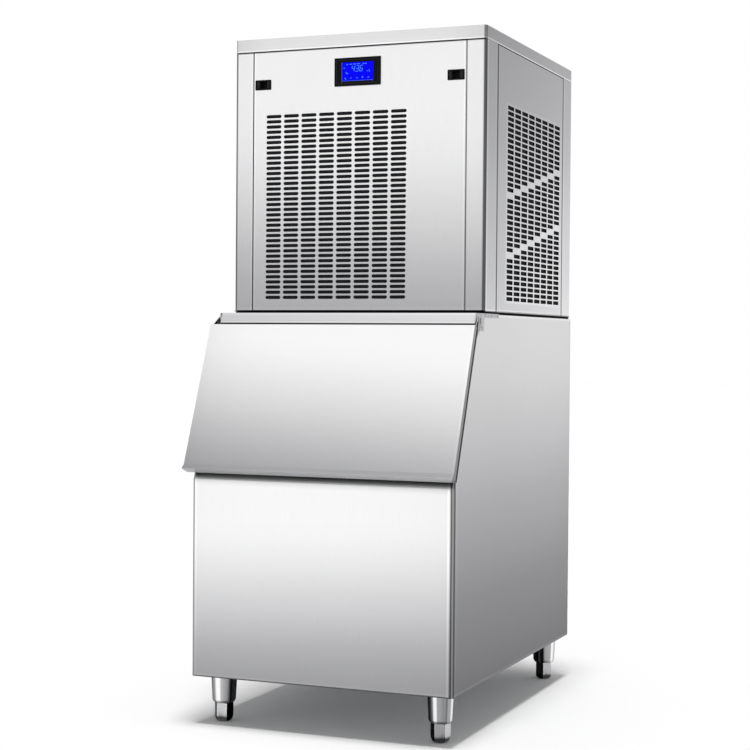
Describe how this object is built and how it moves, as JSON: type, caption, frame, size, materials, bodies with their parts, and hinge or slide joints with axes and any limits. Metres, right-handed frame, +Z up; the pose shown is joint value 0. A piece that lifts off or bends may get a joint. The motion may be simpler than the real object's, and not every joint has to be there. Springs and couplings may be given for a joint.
{
  "type": "granular ice machine",
  "caption": "Floor-standing granular ice machine: an auger ice-making head with punched air grilles on an insulated bin with a slanted front lid and adjustable legs.",
  "frame": {"origin": "on the floor at the middle of the whole machine's footprint, from the lid's lip at the front to the ends of the rear fittings", "axes": "+Z up, +Y from the front with the lid towards the rear, +X to the right of a person facing the front"},
  "size_m": [0.5776, 0.8566, 1.4098],
  "materials": {
    "brushed_stainless": "brushed stainless sheet",
    "polished_stainless": "polished stainless steel",
    "galvanised_sheet": "galvanised steel sheet",
    "black_plastic": "black moulded plastic",
    "blue_display": "blue lit display under a clear window",
    "black_enamel": "black enamel on steel",
    "aluminium_fins": "bare aluminium fins",
    "copper_tube": "bare copper",
    "cast_alloy": "as-cast aluminium alloy",
    "white_plastic": "white moulded plastic",
    "grey_plastic": "grey moulded plastic",
    "foam": "rigid insulating foam",
    "black_rubber": "soft black sealing rubber"
  },
  "bodies": {
    "cabinet": {"bin_back": "brushed_stainless", "bin_curb": "brushed_stainless", "bin_drain": "white_plastic", "bin_floor": "galvanised_sheet", "bin_front": "brushed_stainless", "bin_insulation": "foam", "bin_liner": "white_plastic", "bin_side_left": "brushed_stainless", "bin_side_right": "brushed_stainless", "cable_gland": "black_plastic", "compressor": "black_enamel", "condenser": "aluminium_fins", "condenser_rest": "galvanised_sheet", "control_box": "grey_plastic", "controller_display": "blue_display", "controller_housing": "black_plastic", "discharge_line": "copper_tube", "evaporator_barrel": "foam", "extruding_head": "cast_alloy", "fan_motor": "cast_alloy", "fan_shroud": "galvanised_sheet", "filter_drier": "copper_tube", "front_panel": "brushed_stainless", "gear_motor": "cast_alloy", "head_base": "brushed_stainless", "head_gasket": "black_rubber", "hinge_bracket_left": "polished_stainless", "hinge_bracket_right": "polished_stainless", "ice_chute": "white_plastic", "latch_cup_left": "black_plastic", "latch_cup_right": "black_plastic", "leg_front_left": "polished_stainless", "leg_front_right": "polished_stainless", "leg_rear_left": "polished_stainless", "leg_rear_right": "polished_stainless", "liquid_line": "copper_tube", "post_front_left": "brushed_stainless", "post_front_right": "brushed_stainless", "post_rear_left": "brushed_stainless", "post_rear_right": "brushed_stainless", "rear_panel": "brushed_stainless", "reservoir": "white_plastic", "reservoir_stand": "galvanised_sheet", "side_panel_left": "brushed_stainless", "side_panel_right": "brushed_stainless", "suction_line": "copper_tube", "top_cap": "brushed_stainless", "water_inlet": "polished_stainless"},
    "lid": {"lid_shell": "brushed_stainless", "lid_inner": "white_plastic", "lid_gasket": "black_rubber"},
    "fan": {"fan_blade": "galvanised_sheet"},
    "screw": {"auger": "polished_stainless"},
    "float": {"float_arm": "grey_plastic"},
    "latch_left": {"latch_slider_left": "grey_plastic"},
    "latch_right": {"latch_slider_right": "grey_plastic"},
    "foot_1": {"foot_front_left": "polished_stainless"},
    "foot_2": {"foot_front_right": "polished_stainless"},
    "foot_3": {"foot_rear_left": "polished_stainless"},
    "foot_4": {"foot_rear_right": "polished_stainless"}
  },
  "joints": [
    {"name": "lid_hinge", "type": "hinge", "parent": "cabinet", "child": "lid", "pos_m": [0, -0.26445, 0.82015], "axis": [-1, 0, 0], "range_deg": [0, 158]},
    {"name": "fan_spin", "type": "hinge", "parent": "cabinet", "child": "fan", "pos_m": [-0.055, -0.1148, 1.0544], "axis": [0, 1, 0], "continuous": true},
    {"name": "auger_spin", "type": "hinge", "parent": "cabinet", "child": "screw", "pos_m": [0.165, -0.05, 0.94], "axis": [0, 0, 1], "continuous": true},
    {"name": "float_pivot", "type": "hinge", "parent": "cabinet", "child": "float", "pos_m": [0.1902, -0.15762, 1.1344], "axis": [0, -1, 0], "range_deg": [0, 25]},
    {"name": "latch_left_slide", "type": "slide", "parent": "cabinet", "child": "latch_left", "axis": [1, 0, 0], "range_m": [0, 0.006], "stiffness_N_per_m": 300},
    {"name": "latch_right_slide", "type": "slide", "parent": "cabinet", "child": "latch_right", "axis": [-1, 0, 0], "range_m": [0, 0.006], "stiffness_N_per_m": 300},
    {"name": "foot_front_left_screw", "type": "slide", "parent": "cabinet", "child": "foot_1", "axis": [0, 0, -1], "range_m": [0, 0.02]},
    {"name": "foot_front_right_screw", "type": "slide", "parent": "cabinet", "child": "foot_2", "axis": [0, 0, -1], "range_m": [0, 0.02]},
    {"name": "foot_rear_left_screw", "type": "slide", "parent": "cabinet", "child": "foot_3", "axis": [0, 0, -1], "range_m": [0, 0.02]},
    {"name": "foot_rear_right_screw", "type": "slide", "parent": "cabinet", "child": "foot_4", "axis": [0, 0, -1], "range_m": [0, 0.02]}
  ]
}
